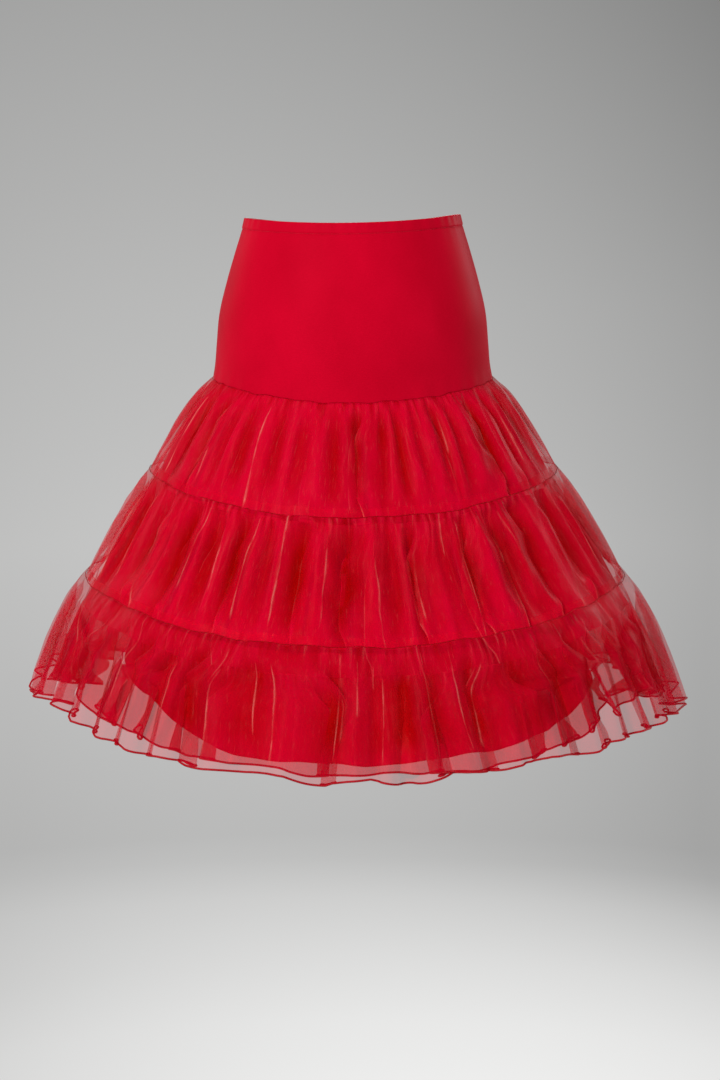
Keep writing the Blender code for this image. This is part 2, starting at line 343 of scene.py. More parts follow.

# gathered tiers

# Where folds dip in, in degrees round from the front centre: the angle, the depth as a share of
# the tier's furrow, and how many millimetres the next fold to the right laps over (the left one,
# where it is under nought). The front ones are listed one by one, and a number stands for that
# many placed by chance.
# A crease is its angle, the shares of the tier's height where it starts and ends, and its strength.
# A hem sag is an angle, and how many millimetres the hem hangs lower there.
# A shadow is an angle, its spread in degrees and its strength.
outerUpperTier = {
    "top": "yoke", "bottom": "upperSeam", "columns": 1300, "rows": 34, "crowding": 1.3,
    "valleys": (
        (-90, .4, 0), (-76, .5, 5), (-62, .4, 0), (-52, .6, 6), (-44.5, .2, 0), (-37, .5, 0), (-24, .5, 0),
        (-17.5, .2, 0), (-6, .6, 0), (2.2, 1.0, 9), (10, .2, 0), (16, .7, 0), (22.5, .2, 0), (30, .6, 0),
        (36, .2, 0), (46.5, .8, -9), (57, .5, -4), (68, .6, 0), (78, .4, 0), (90, .4, 0),
    ),
    "creases": (
        (-66, .15, .9, .9), (-77, .1, .55, .9), (-50, .2, .55, 1.0), (-48, .6, .85, .8),
        (-30.5, .1, .95, .9), (4.0, .22, .8, 1.0), (31, .2, .5, .6), (47.5, .2, .98, .35), (60, .3, .75, .6),
        (84, .2, .8, .7), (-85, .3, .9, .6), (74, .35, .8, .5),
    ),
    "backValleys": 19, "backCreases": 14, "furrow": 4 * mm, "foldDepth": 9 * mm, "fallOff": True,
    "subPitch": 30 * mm, "subDepth": 0.5 * mm, "unrest": 0.07, "seededLap": 7, "lapOpen": 0.4, "tip": 1.0,
    "gatherPitch": 17 * mm, "gatherDepth": 4.2 * mm, "gatherReach": 14 * mm, "swell": 8 * mm,
    "wobbleTop": (1, 1.2 * mm), "wobbleBottom": (2, 1.6 * mm), "sideShade": 0.35, "glints": 0.14,
    "facet": 36, "crispness": 6, "seed": 5, "cut": (0.78, 0.138),
}
outerMiddleTier = {
    "top": "upperSeam", "bottom": "lowerSeam", "columns": 1450, "rows": 38, "crowding": 1.3,
    "valleys": (
        (-90, .4, 0), (-78, .5, 8), (-66, .6, 0), (-56, .5, 10), (-44, .8, 11), (-35, .4, 0), (-28.5, .8, 8),
        (-21, .4, 0), (-12.2, .6, 7), (-1.5, 1.0, 13), (9.5, .7, 0), (14.2, .8, 10), (22.5, .3, 0),
        (28.5, .7, 9), (37, .6, -8), (46, .8, -12), (59, .6, -8), (72, .5, 0), (80, .5, -8), (90, .4, 0),
    ),
    "creases": (
        (-39, .03, .7, 1.0), (-17, .0, .85, 1.0), (-24.4, .05, .82, 1.0), (-32.6, .33, .66, .9),
        (-5.9, .25, .78, 1.0), (-51, .15, .97, .9), (6.4, .33, .96, .9), (15.6, .3, .97, .8),
        (17, .45, .78, .7), (22.5, .07, .3, .8), (26.5, .1, .97, 1.0), (52, .58, 1.0, .5), (-61, .1, .8, .8),
        (-70, .2, .9, .8), (-83, .1, .9, .6), (40, .1, .5, .5), (66, .2, .7, .8), (84, .1, .9, .7),
    ),
    "backValleys": 18, "backCreases": 18, "furrow": 11 * mm, "foldDepth": 14 * mm, "fallOff": True,
    "subPitch": 34 * mm, "subDepth": 1.1 * mm, "unrest": 0.13, "seededLap": 11, "lapOpen": 0.8, "tip": 1.0,
    "gatherPitch": 18 * mm, "gatherDepth": 4.6 * mm, "gatherReach": 17 * mm, "swell": 6 * mm,
    "wobbleTop": (2, 1.6 * mm), "wobbleBottom": (3, 2.0 * mm), "sideShade": 0.45, "glints": 0.38,
    "facet": 36, "crispness": 6, "seed": 7, "cut": (1.28, 0.155),
}
outerHemTier = {
    "top": "lowerSeam", "bottom": "hem", "columns": 1700, "rows": 42, "crowding": 1.22,
    "valleys": (
        (-90, .4, 10), (-82, .5, 16), (-73, .6, 26), (-64, .5, -20), (-56, .6, 22), (-49, .7, 20),
        (-41.5, .5, 20), (-35, .7, 12), (-28.5, .8, 18), (-19, .15, 0), (-4.2, .95, -17), (3, .15, 0),
        (8.3, 1.0, 0), (13.2, .6, -9), (21.5, .75, 15), (29, .2, 0), (37, .85, -20), (43.5, .5, -21),
        (50.5, .6, -21), (57, .6, -20), (65, .6, -20), (72, .5, 20), (80, .6, -18), (90, .4, 0),
    ),
    "creases": (
        (-23.2, .08, .3, .8), (-22.8, .25, .97, 1.0), (-18, .17, .7, 1.0), (-15, .17, .9, 1.0),
        (-7.2, .4, .7, .9), (-3.2, .07, .85, .9), (0, .12, .5, .9), (3, .15, .3, .6), (4.6, .25, .82, 1.0),
        (12.6, .07, .85, 1.0), (18, .07, .8, 1.0), (23.8, .2, .8, 1.0), (36.6, .15, .42, .7),
        (-32.4, .28, .62, .9), (-27.4, .4, .64, .8), (-44, .1, .7, .9), (-54, .2, .8, .8), (-66, .1, .7, .8),
        (46, .2, .6, .5), (56, .1, .5, .6), (-83, .1, .8, .6), (84, .1, .6, .6),
    ),
    "hemSag": (
        (-90, -8), (-84, 1), (-76, -2), (-66, -12), (-57, -10), (-48, -2), (-38, 0), (-28, 2), (-17, -6),
        (-11, -6), (-5, 4), (2, -4), (7, 3), (12, -6), (20, -9), (32, -12), (38, -3), (47, 2), (58, 2),
        (70, 0), (90, 0), (100, 4), (112, 16), (140, 24), (160, 8), (200, 8), (220, 24), (246, 18),
        (256, -6), (264, -16), (270, -8),
    ),
    "backValleys": 18, "backCreases": 22, "furrow": 13 * mm, "foldDepth": 19 * mm, "fallOff": False,
    "subPitch": 40 * mm, "subDepth": 1.6 * mm, "unrest": 0.16, "seededLap": 18, "lapOpen": 2.4, "tip": 0.4,
    "gatherPitch": 21 * mm, "gatherDepth": 5.4 * mm, "gatherReach": 21 * mm, "swell": 11 * mm,
    "wobbleTop": (3, 2.0 * mm), "wobbleBottom": (4, 3.0 * mm), "sideShade": 0.04, "shade": 2.3, "glints": 0.45,
    "facet": 36, "crispness": 6, "seed": 13, "cut": (1.66, 0.165),
}
innerUpperTier = {
    "top": "innerYoke", "bottom": "innerUpperSeam", "columns": 560, "rows": 18, "crowding": 1.2,
    "valleys": 12, "backValleys": 12, "backCreases": 0, "furrow": 2 * mm, "foldDepth": 4 * mm,
    "fallOff": True, "subPitch": 30 * mm, "subDepth": 1.2 * mm, "unrest": 0.10, "seededLap": 8,
    "lapOpen": 0.4, "tip": 1.0, "gatherPitch": 15 * mm, "gatherDepth": 2.6 * mm,
    "gatherReach": 16 * mm, "swell": -3 * mm, "sideSwell": 9 * mm, "wobbleTop": (1, 0.8 * mm),
    "wobbleBottom": (21, 1.6 * mm), "glints": 0.15, "facet": 30, "crispness": 4,
    "seed": 17, "cut": (0.72, 0.143),
}
innerMiddleTier = {
    "top": "innerUpperSeam", "bottom": "innerLowerSeam", "columns": 700, "rows": 20, "crowding": 1.2,
    "valleys": 13, "backValleys": 13, "backCreases": 0, "furrow": 8 * mm, "foldDepth": 9 * mm,
    "fallOff": True, "subPitch": 32 * mm, "subDepth": 2.2 * mm, "unrest": 0.16, "seededLap": 14,
    "lapOpen": 0.8, "tip": 1.0, "gatherPitch": 15 * mm, "gatherDepth": 2.8 * mm,
    "gatherReach": 18 * mm, "swell": -9 * mm, "sideSwell": 12 * mm, "wobbleTop": (21, 1.6 * mm),
    "wobbleBottom": (22, 2.0 * mm), "glints": 0.20, "facet": 30, "crispness": 4,
    "seed": 19, "cut": (1.01, 0.180),
}
innerHemTier = {
    "top": "innerLowerSeam", "bottom": "innerHem", "columns": 1000, "rows": 20, "crowding": 1.1,
    "valleys": (
        (-90, .4, 0), (-84, .5, 20), (-77, .5, 26), (-70, .6, -24), (-62, .5, 28), (-54, .6, -26),
        (-47, .5, 32), (-40, .5, 30), (-33, .6, 16), (-26, .5, 16), (-16, .5, 0), (-6, .6, -14), (4, .5, 0),
        (14, .5, 16), (24, .6, 0), (32, .5, -26), (39, .5, -36), (46, .5, -34), (53, .6, -30),
        (61, .5, -32), (69, .6, 26), (77, .5, -26), (84, .5, -20), (90, .4, 0),
    ),
    "hemSag": (
        (-90, -6), (-80, -8), (-72, -20), (-62, -24), (-54, -10), (-46, -2), (-36, 4), (-20, 0), (-8, 3),
        (6, 0), (20, 2), (36, 0), (46, -6), (56, -20), (64, -26), (72, -10), (82, -6), (90, -4), (104, 8),
        (120, 22), (140, 22), (160, 6), (200, 6), (220, 22), (242, 22), (258, 8), (270, -6),
    ),
    "shadows": (  # below the deep folds of the outer hem tier
        (-28.5, 2.0, 0.6), (-4.2, 2.4, 0.9), (8.3, 4.2, 1.0), (21.5, 2.0, 0.6), (37, 2.2, 0.6),
    ),
    "backValleys": 18, "backCreases": 0, "furrow": 16 * mm, "foldDepth": 12 * mm, "fallOff": False,
    "subPitch": 34 * mm, "subDepth": 2.8 * mm, "unrest": 0.16, "seededLap": 24, "lapOpen": 2.4, "tip": 0.4,
    "gatherPitch": 16 * mm, "gatherDepth": 3.0 * mm, "gatherReach": 18 * mm, "swell": -2 * mm,
    "sideSwell": 6 * mm, "wobbleTop": (22, 2.0 * mm), "wobbleBottom": (23, 3.0 * mm), "shade": 1.0,
    "glints": 0.30, "facet": 30, "crispness": 4, "seed": 23, "cut": (1.90, 0.112),
}
cloth = {
    "lapStart": 2 * mm, "lapTurn": 2.6 * mm, "lapAngle": 164, "lapCloth": 1.6,
    "lapReach": (-0.8 * mm, 1 * mm), "creaseReach": (-2.1 * mm, 2.2 * mm), "evenClear": 0.9 * mm,
    "ridge": 0.9 * mm, "ridgeWidth": 0.7 * mm, "ridgeAngle": 34, "glintWidth": 1.0 * mm,
    "fineStep": 0.8 * mm, "closest": 0.45 * mm, "digits": 6, "swellEarly": 0.68, "steepest": 105,
    "calmWidth": 13, "calm": 0.8, "drift": 0.7, "sheetNoise": 0.25 * mm, "noiseSamples": 1500,
    "topTight": 0.32, "topLoose": 0.68, "topOver": 14 * mm,
    "bottomTight": 0.45, "bottomLoose": 0.55, "bottomOver": 20 * mm,
}
shading = {  # where painted shade deepens the folds' colour
    "usual": 1.7, "start": 0.20, "sideShadeFrom": 42, "sideShadeOver": 34, "knotWidth": 11, "topKnot": 10 * mm,
    "bottomKnot": 12 * mm, "hemLight": 0.7, "hemLightFrom": 0.62, "hemLightOver": 0.25, "pinch": 0.8,
}

# how steeply a fold has to turn for its depth to be this share of its width
turnShares = (0, 0.165, 0.366, 0.443, 0.72, 1.5)
turnAngles = (0, 0.5, 1.0, 1.134, 1.5, 1.9)


def seededValleys(chance, start, end, count, lap):
    widths = chance.uniform(0.55, 1.45, count)
    edges = start + (end - start) * np.concatenate(([0], np.cumsum(widths) / widths.sum()))
    laps = chance.choice((-1.0, 0.0, 1.0), count) * chance.uniform(0.5, 1.0, count) * lap
    dips = chance.uniform(0.35, 0.95, count)
    found = [(float(edge), float(dip), float(over)) for edge, dip, over in zip(edges[1:], dips, laps)]
    found[-1] = (end, 0.4, 0.0)
    return found


def tierPlan(tier, chance):
    # every fold edge all round from one side seam to it again, the front's last one, and the creases
    if isinstance(tier["valleys"], int):
        front = [(-90, 0.4, 0.0)] + seededValleys(chance, -90, 90, tier["valleys"], tier["seededLap"])
    else:
        front = list(tier["valleys"])
    valleys = front + seededValleys(chance, 90, 270, tier["backValleys"], tier["seededLap"])
    creases = list(tier.get("creases", ()))
    for _ in range(tier["backCreases"]):
        start = chance.uniform(0.0, 0.5)
        angle, end = chance.uniform(92, 268), start + chance.uniform(0.2, 0.5)
        creases.append((angle, start, end, chance.uniform(0.5, 1.0)))
    return valleys, len(front) - 1, creases


def clothPlan(tier, chance, upper, lower):
    # how steep each fold is and how much cloth it takes, with laps and creases placed along the cloth
    valleys, frontFolds, creases = tierPlan(tier, chance)
    edges = np.radians([valley[0] for valley in valleys])
    dips = np.array([valley[1] for valley in valleys])
    laps = np.array([valley[2] for valley in valleys]) * mm
    middle = mixedOval(upper, lower, 0.75)
    arc = np.diff(edges) * (2 * middle["halfWidth"] + middle["frontDepth"] + middle["backDepth"]) / 4
    deeper = 0.40 + 0.45 * (dips[1:] + dips[:-1])
    depthEach = tier["foldDepth"] * deeper * chance.uniform(0.85, 1.15, len(arc))
    steepest = np.interp(depthEach / arc, turnShares, turnAngles)
    taken = arc * (1 + 0.30 * steepest**2) * chance.uniform(0.9, 1.1, len(arc))
    taken += cloth["lapCloth"] * (np.maximum(laps[:-1], 0) + np.maximum(-laps[1:], 0))
    before = np.concatenate(([0], np.cumsum(taken)))
    lapAt = []
    for place, lap in zip(before, laps):
        if lap:
            side = math.copysign(1.0, lap)
            lapAt.append((place + side * cloth["lapStart"], side, abs(lap)))
    creaseAt = [(float(np.interp(math.radians(angle), edges, before)), *rest) for angle, *rest in creases]
    return {
        "edges": edges, "dips": dips, "frontFolds": frontFolds, "steepest": steepest, "taken": taken,
        "before": before, "laps": lapAt, "creases": creaseAt,
    }


def columnPlaces(tier, plan):
    # columns are spread evenly over the cloth, with fine ones where it laps or creases
    before = plan["before"]
    widestTurn = cloth["lapTurn"] * (1 + tier["lapOpen"])
    turnStart, turnEnd = cloth["lapReach"]
    acrossTurn = np.arange(turnStart, widestTurn + turnEnd, cloth["fineStep"])
    acrossCrease = np.arange(*cloth["creaseReach"], cloth["fineStep"])
    fine = [before]
    for place, side, lap in plan["laps"]:
        for start in (0, lap):
            fine.append(place + side * (start + acrossTurn))
    for place, *_ in plan["creases"]:
        fine.append(place + acrossCrease)
    even = np.linspace(0, before[-1], tier["columns"] + 1)
    fine = np.sort(np.concatenate(fine))
    near = np.abs(even[:, None] - fine[None, :]).min(axis=1)
    found = np.unique(np.round(np.concatenate((even[near > cloth["evenClear"]], fine)), cloth["digits"]))
    found = found[(found >= 0) & (found <= np.round(before[-1], cloth["digits"]))]
    isEdge = np.isin(found, np.round(before, cloth["digits"]))
    kept = [0]
    for k in range(1, len(found)):
        isFar = found[k] - found[kept[-1]] >= cloth["closest"]
        if isEdge[k] and not isFar and not isEdge[kept[-1]]:
            kept[-1] = k
        elif isEdge[k] or isFar:
            kept.append(k)
    return found[kept]


def noiseOver(chance, rows, position):
    # gives smooth noise over the cloth, by how many cells it has down and round
    last = cloth["noiseSamples"] - 1

    def around(cellsDown, cellsRound, rowCount=rows):
        field = softNoise(chance, rowCount, cloth["noiseSamples"], cellsDown, cellsRound)
        places = position / position[-1] * last
        left = np.minimum(places.astype(int), last - 1)
        return field[:, left] + (field[:, left + 1] - field[:, left]) * (places - left)

    return around


def wavesAlong(position, pitch):
    # how many waves of about this pitch have passed, a whole number all round
    return np.round(position[-1] / pitch) * position / position[-1]


def foldedDirection(tier, plan, chance, around):
    # direction of the cloth's section at each point, in radians from the oval's own line
    bodyRise, fold, position, local = plan["bodyRise"], plan["fold"], plan["position"], plan["local"]
    waist = local + 0.42 * np.sin(fullTurn * local) / fullTurn
    lean = 0.10 * chance.uniform(-1, 1, len(plan["taken"]))[fold] * np.sin(math.pi * local) ** 2
    lobe = plan["steepest"][fold] * np.sin(fullTurn * (waist + lean)) * bodyRise
    subAmount = np.interp(tier["subDepth"] / tier["subPitch"], turnShares, turnAngles)
    subWaves = wavesAlong(position, tier["subPitch"])
    subPhase = fullTurn * (subWaves + 0.35 * around(2, 60) + 0.25 * around(1, 90, 1))
    sub = subAmount * np.sin(subPhase) * (0.75 + 0.6 * around(3, 120)) * (0.30 + 0.85 * bodyRise)
    amount = np.interp(tier["gatherDepth"] / tier["gatherPitch"], turnShares, turnAngles)
    reach = tier["gatherReach"] * np.exp(0.9 * around(1, 150, 1))
    gatherWaves = wavesAlong(position, tier["gatherPitch"])
    phase = fullTurn * (gatherWaves + 0.35 * around(1, 260, 1) + 0.2 * around(4, 150))
    fading = np.exp(-((plan["below"] / reach) ** 1.3))
    gathers = amount * np.sin(phase) * (0.9 + 0.4 * around(1, 200, 1)) * fading
    if tier["fallOff"]:  # the lower edge is pulled together by the next tier's seam
        fading = np.exp(-((plan["fromBottom"] / (0.5 * reach)) ** 1.3))
        gathers = gathers + 0.45 * amount * np.sin(phase + 1.3) * fading
    # the cloth is calmer beside the side seams, where it is seen edge on
    calm = 1 - cloth["calm"] * np.exp(-((plan["fromSide"] / cloth["calmWidth"]) ** 2))
    direction = lobe + (sub + gathers) * calm + tier["unrest"] * around(3, 40)
    # flat facets with creases between them, as crisp cloth has
    facet, crisp = math.radians(tier["facet"]), tier["crispness"]
    offset = 0.5 * facet * around(4, 70)
    steps = (direction + offset) / facet
    whole = np.floor(steps)
    bent = 0.5 * np.tanh(crisp * (steps - whole - 0.5)) / math.tanh(crisp / 2)
    direction = facet * (whole + 0.5 + bent) - offset
    limit = math.radians(cloth["steepest"])
    direction = limit * np.tanh(direction / limit)
    # painted highlight where the section bends sharply round a crest
    bending = np.gradient(direction, position, axis=1)
    sharpness = np.clip(-bending * 0.006 - 0.5, 0, 1)
    paintedHighlight = tier["glints"] * 0.7 * sharpness * (0.5 + 0.5 * around(5, 200)) * bodyRise
    return direction, paintedHighlight, {"phase": phase, "reach": reach}


def lapped(tier, plan, direction, paintedHighlight, around):
    # laps, where the cloth doubles back on itself and lies over the next fold, and raised creases, with
    # painted highlights along both
    share, position = plan["share"], plan["position"]
    growth = smoothRise((share - 0.03) / 0.45)
    if tier["fallOff"]:
        growth = growth * (1 - 0.35 * smoothRise((share - 0.8) / 0.2))
    lapTurn = cloth["lapTurn"] * (1 + tier["lapOpen"] * share**2)
    for place, side, lap in plan["laps"]:
        distance = side * (position - place)
        window = smoothRise(distance / lapTurn) - smoothRise((distance - lap) / lapTurn)
        direction = direction + side * math.radians(cloth["lapAngle"]) * window * growth
        # painted highlight along the folded edge of each lap
        glow = bump(distance, lap + lapTurn * 0.6, cloth["glintWidth"]) * growth
        paintedHighlight = np.maximum(paintedHighlight, glow * np.clip(0.10 + 0.9 * around(6, 90), 0, 0.9))
    for place, start, end, strength in plan["creases"]:
        distance = position - place
        present = smoothRise((share - start + 0.03) / 0.06) * smoothRise((end + 0.03 - share) / 0.06)
        present = present * strength
        ridge = bump(distance, -cloth["ridge"], cloth["ridgeWidth"])
        ridge = ridge - bump(distance, cloth["ridge"], cloth["ridgeWidth"])
        direction = direction + math.radians(cloth["ridgeAngle"]) * ridge * present
        # painted highlight along each raised crease
        thick = 0.65 + 0.40 * np.sin(11 * share + 40 * place)
        paintedHighlight = np.maximum(paintedHighlight, bump(distance, 0.0, cloth["glintWidth"] * thick) * present)
    return direction, paintedHighlight


def walkedSection(plan, oval, direction, chance):
    # follows the section, then fits each fold between its valleys: how far round and how far out
    share, position, fold, starts = plan["share"], plan["position"], plan["fold"], plan["starts"]
    edges, frontFolds, rows = plan["edges"], plan["frontFolds"], len(plan["share"])
    stepLength = np.diff(position)
    halfway = (direction[:, 1:] + direction[:, :-1]) / 2
    zero = np.zeros((rows, 1))
    along = np.concatenate((zero, np.cumsum(np.cos(halfway) * stepLength, axis=1)), axis=1)
    out = np.concatenate((zero, np.cumsum(np.sin(halfway) * stepLength, axis=1)), axis=1)
    straight = chance.uniform(-1, 1, len(edges)) * (share - 0.5) * 2
    bowed = chance.uniform(-0.6, 0.6, len(edges)) * np.sin(share * 5)
    drift = np.radians(cloth["drift"]) * (straight + bowed)
    drift[:, (0, frontFolds, len(edges) - 1)] = 0  # the side seams stay where they are
    edgeTurns = edges + drift
    alongAtEdges, outAtEdges = along[:, starts], out[:, starts]
    span = alongAtEdges[:, 1:] - alongAtEdges[:, :-1]
    part = (along - alongAtEdges[:, fold]) / span[:, fold]
    turn = edgeTurns[:, fold] + (edgeTurns[:, fold + 1] - edgeTurns[:, fold]) * part
    middleTurn = (edges[1:] + edges[:-1]) / 2
    depthHere = np.where(np.cos(middleTurn) > 0, oval["frontDepth"], oval["backDepth"])
    reachEach = np.hypot(oval["halfWidth"] * np.cos(middleTurn), depthHere * np.sin(middleTurn))
    scale = (edgeTurns[:, 1:] - edgeTurns[:, :-1]) * reachEach / span
    outDrift = outAtEdges[:, 1:] - outAtEdges[:, :-1]
    rise = (out - outAtEdges[:, fold] - outDrift[:, fold] * part) * scale[:, fold]
    # crests reach the oval, valleys fall short of it
    crests = np.stack([rise[:, a : b + 1].max(axis=1) for a, b in zip(starts[:-1], starts[1:])], axis=1)
    middles = (position[starts[1:]] + position[starts[:-1]]) / 2
    ringedMiddles = np.concatenate(([middles[-1] - position[-1]], middles, [middles[0] + position[-1]]))
    ringed = np.concatenate((crests[:, -1:], crests, crests[:, :1]), axis=1)
    inward = np.stack([np.interp(position, ringedMiddles, ringed[row]) for row in range(rows)])
    return turn, rise - inward


def furrowsAt(plan, turn):
    furrow = np.zeros_like(turn)
    for edge, dip in zip(plan["edges"], plan["dips"]):
        spread = math.radians(2.0 + 2.4 * dip)
        away = np.abs((turn - edge + math.pi) % fullTurn - math.pi) / spread
        furrow = np.maximum(furrow, dip * np.cos(np.clip(away, 0, 2) * math.pi / 4) ** 2)
    return furrow


def shadeMarks(tier, plan, folded, paintedHighlight, gathering, around):
    # how much painted shade each point gets deep in a valley, and how much painted highlight near a bright
    # crease
    share, fromSide, fromBottom = plan["share"], plan["fromSide"], plan["fromBottom"]
    reachIn = tier["foldDepth"] + tier["furrow"]
    # painted shade, stronger the further in the cloth folds, and under the listed shadows
    valley = np.clip(-tier.get("shade", shading["usual"]) * folded / reachIn - shading["start"], 0, 1)
    for angle, spread, strength in tier.get("shadows", ()):
        valley = np.maximum(valley, strength * bump(plan["angle"], angle, spread) * smoothRise(share / 0.12))
    # painted shade, deeper towards the side seams, where the gathers lie closer
    toSide = smoothRise((90 - fromSide - shading["sideShadeFrom"]) / shading["sideShadeOver"])
    sideShade = tier.get("sideShade", 0) * toSide
    valley = valley + sideShade * (1 - valley)
    knot = bump(plan["below"], 0, shading["topKnot"])
    if tier["fallOff"]:
        knot = knot + bump(fromBottom, 0, shading["bottomKnot"])
    else:  # light comes through the single cloth near the hem, so the painted shade fades there
        nearHem = smoothRise((share - shading["hemLightFrom"]) / shading["hemLightOver"])
        valley = valley * (1 - shading["hemLight"] * nearHem)
    # painted shade where the seams meet in a knot at each side
    valley = np.maximum(valley, bump(fromSide, 0, shading["knotWidth"]) * np.clip(knot, 0, 1))
    wave = np.sin(gathering["phase"])
    pinch = np.exp(-((plan["below"] / (0.9 * gathering["reach"])) ** 1.5))
    # painted shade in the gathers' troughs just under the seam
    valley = np.maximum(valley, shading["pinch"] * np.clip(-wave - 0.1, 0, 1) * pinch)
    # painted highlights on the gathers' crests just under the seam
    glints = tier["glints"] * np.clip(4 * wave - 3.2, 0, 1) * pinch * np.clip(0.3 + around(3, 170), 0, 1)
    return {"paintedHighlight": np.clip(np.maximum(paintedHighlight, glints), 0, 1), "valley": valley}


def foldedTier(tier):
    # the tier's points all round, its column at the far side seam, its cut lengths and its marks
    chance = np.random.default_rng(tier["seed"])
    upper, lower = ovalNamed(tier["top"]), ovalNamed(tier["bottom"])
    share = (np.linspace(0, 1, tier["rows"]) ** tier["crowding"])[:, None]
    widening, height = lower["halfWidth"] - upper["halfWidth"], upper["sideZ"] - lower["sideZ"]
    slantHeight, slope = math.hypot(widening, height), math.atan2(widening, height)
    plan = clothPlan(tier, chance, upper, lower)
    position = columnPlaces(tier, plan)
    before = plan["before"]
    starts = np.searchsorted(position, np.round(before, cloth["digits"]) - 1e-7)
    passed = np.searchsorted(starts, np.arange(len(position)), side="right") - 1
    fold = np.minimum(passed, len(plan["taken"]) - 1)
    if tier["fallOff"]:
        bodyRise = np.sin(math.pi * share**0.72) + 0.15 * share
    else:
        bodyRise = 0.05 + 0.50 * smoothRise(share / 0.28) + 0.45 * smoothRise(share / 0.9)
    angle = np.degrees(np.interp(position, before, plan["edges"]))
    plan.update(
        share=share, below=share * slantHeight, fromBottom=(1 - share) * slantHeight, bodyRise=bodyRise,
        position=position, starts=starts, fold=fold, local=(position - before[fold]) / plan["taken"][fold],
        angle=angle, fromSide=np.abs((angle + 90 + 90) % 180 - 90),
    )
    around = noiseOver(chance, tier["rows"], position)
    direction, paintedHighlight, gathering = foldedDirection(tier, plan, chance, around)
    direction, paintedHighlight = lapped(tier, plan, direction, paintedHighlight, around)
    oval = mixedOval(upper, lower, share)
    turn, rise = walkedSection(plan, oval, direction, chance)
    tightness = cloth["topTight"] + cloth["topLoose"] * smoothRise(plan["below"] / cloth["topOver"])
    if tier["fallOff"]:
        loosening = smoothRise(plan["fromBottom"] / cloth["bottomOver"])
        tightness = tightness * (cloth["bottomTight"] + cloth["bottomLoose"] * loosening)
    folded = rise * tightness - furrowsAt(plan, turn) * tier["furrow"] * np.maximum(bodyRise, 0.35 * share)
    fullness = tier["swell"] + tier.get("sideSwell", 0) * np.sin(turn) ** 8
    swell = fullness * np.sin(math.pi * share ** cloth["swellEarly"])
    outward = folded + swell + cloth["sheetNoise"] * around(6, 230) * bodyRise
    points = onOval(oval, turn, outward, tier["tip"] * slope * smoothRise(share / 0.25))
    topWobble, bottomWobble = [seamWobble(turn, *tier[one]) for one in ("wobbleTop", "wobbleBottom")]
    points[..., 2] += topWobble * (1 - share) + bottomWobble * share
    if "hemSag" in tier:
        points[..., 2] -= sagAt(tier["hemSag"], turn) * share**2
    marks = shadeMarks(tier, plan, folded, paintedHighlight, gathering, around)
    return points, int(starts[plan["frontFolds"]]), position, plan["below"][:, 0], marks


def beadAlong(name, path, radius, sides, material):
    # a rolled edge: a fine tube that follows a row of points
    ahead = np.gradient(path, axis=0)
    ahead /= np.linalg.norm(ahead, axis=1)[:, None]
    side = np.cross(ahead, (0.0, 0.0, 1.0))
    side /= np.linalg.norm(side, axis=1)[:, None]
    top = np.cross(side, ahead)
    turns = np.linspace(0, fullTurn, sides + 1)
    acrossTube, upTube = np.cos(turns)[:, None, None], np.sin(turns)[:, None, None]
    ring = path[None] + radius * (acrossTube * side[None] + upTube * top[None])
    return gridPiece(name, ring, material, (lengthAlong(path)[None, :], (turns * radius)[:, None]))


seamBand = {"height": 9 * mm, "inset": 0.9 * mm}
seamBead = {"yoke": 0.22 * mm, "others": 0.50 * mm, "sides": 4}
hemBead = {"radius": 1.2 * mm, "sides": 6}


def seamAllowance(name, part, below, width, marks):
    # the doubled cloth inside, above the seam to the next tier
    rows = below > below[-1] - seamBand["height"]
    rows[:-1] |= rows[1:]
    band = part[rows].copy()
    inward = band * (1, 1, 0)
    inward /= np.linalg.norm(inward, axis=-1)[..., None]
    band -= inward * seamBand["inset"]
    bandMarks = {key: mark[rows] for key, mark in marks.items()}
    return gridPiece(name, band, seamOrganza, (width, -below[rows][:, None]), bandMarks)


def dressTier(tier, name, material, restsOn, hemmed):
    points, seamColumn, position, below, marks = foldedTier(tier)
    for panel, columns in (("front", slice(0, seamColumn + 1)), ("back", slice(seamColumn, None))):
        part = points[:, columns]
        width = position[None, columns]
        partMarks = {key: mark[:, columns] for key, mark in marks.items()}
        piece = gridPiece(f"{name}_{panel}_cloth", part, material, (width, -below[:, None]), partMarks)
        if name.startswith("outer"):
            radius = seamBead["yoke" if restsOn == "yoke" else "others"]
            stitched = f"{name}_{panel}_seam_stitching"
            # the seam's stitching, dark so that it also stands in for the shade along the seam
            beadAlong(stitched, part[0], radius, seamBead["sides"], seamThreadShade)
        if hemmed:
            rolled = f"{name}_{panel}_rolled_hem"
            beadAlong(rolled, part[-1], hemBead["radius"], hemBead["sides"], hemThread)
        elif name.startswith("outer"):
            seamAllowance(f"{name}_{panel}_seam_allowance", part, below, width, partMarks)
        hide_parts(f"{name}_{panel}")
    print("made", name)


